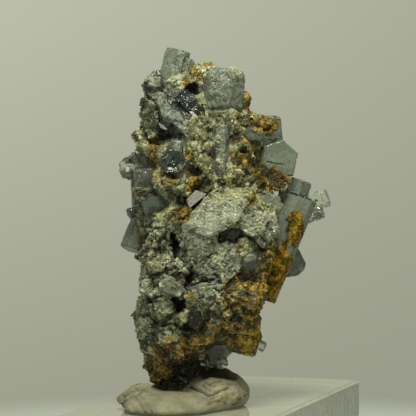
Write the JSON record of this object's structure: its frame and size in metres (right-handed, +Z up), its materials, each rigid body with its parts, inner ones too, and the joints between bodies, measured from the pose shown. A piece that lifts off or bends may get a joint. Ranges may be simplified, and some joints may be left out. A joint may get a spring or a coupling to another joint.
{
  "type": "aquamarine specimen",
  "caption": "Natural specimen of grey-green beryl crystals on rusty, crumbly matrix, held upright by putty on a clear slab.",
  "frame": {"origin": "middle of the slab's underside, on the surface that the object stands on", "axes": "+Z up; +Y away from the viewer of the specimen's front; +X to that viewer's right. The slab is turned 19 degrees clockwise about Z, seen from above"},
  "size_m": [0.059, 0.0834, 0.0765],
  "materials": {
    "matrix": "crumbly feldspar and mica, cream, silver grey and rust",
    "aquamarine": "smoky grey-green beryl, clear to frosted",
    "clear_beryl": "nearly colourless beryl, glassy",
    "putty": "matt beige putty with fingerprints",
    "acrylic": "clear polished acrylic"
  },
  "bodies": {
    "root": {"acrylic_slab": "acrylic", "putty": "putty", "matrix_rock": "matrix", "crown_crystal": "aquamarine", "shoulder_crystal": "aquamarine", "glassy_crystal": "aquamarine", "upper_right_crystal": "aquamarine", "dark_hexagon_crystal": "aquamarine", "left_block_crystal": "aquamarine", "left_edge_crystal": "aquamarine", "left_spur_crystal": "aquamarine", "left_tip_crystal": "aquamarine", "left_middle_crystal": "aquamarine", "left_small_crystal": "aquamarine", "left_lower_crystal": "aquamarine", "lilac_crystal": "aquamarine", "column_crystal": "aquamarine", "right_dark_crystal": "aquamarine", "right_upper_crystal": "aquamarine", "right_hexagon_crystal": "aquamarine", "right_large_crystal": "aquamarine", "right_inner_crystal": "aquamarine", "clear_twin_crystal": "clear_beryl", "right_lower_crystal": "aquamarine", "root_clear_crystal": "clear_beryl", "spur_crystal": "clear_beryl", "dark_low_crystal": "aquamarine", "lens_crystal": "aquamarine", "pit_crystal": "aquamarine", "back_top_crystal": "aquamarine", "back_upper_crystal": "aquamarine", "back_left_crystal": "aquamarine", "back_middle_crystal": "aquamarine", "back_right_crystal": "aquamarine", "back_low_crystal": "aquamarine", "back_low_left_crystal": "aquamarine", "back_spur_crystal": "aquamarine", "side_left_crystal": "aquamarine", "side_right_crystal": "aquamarine"}
  },
  "joints": []
}
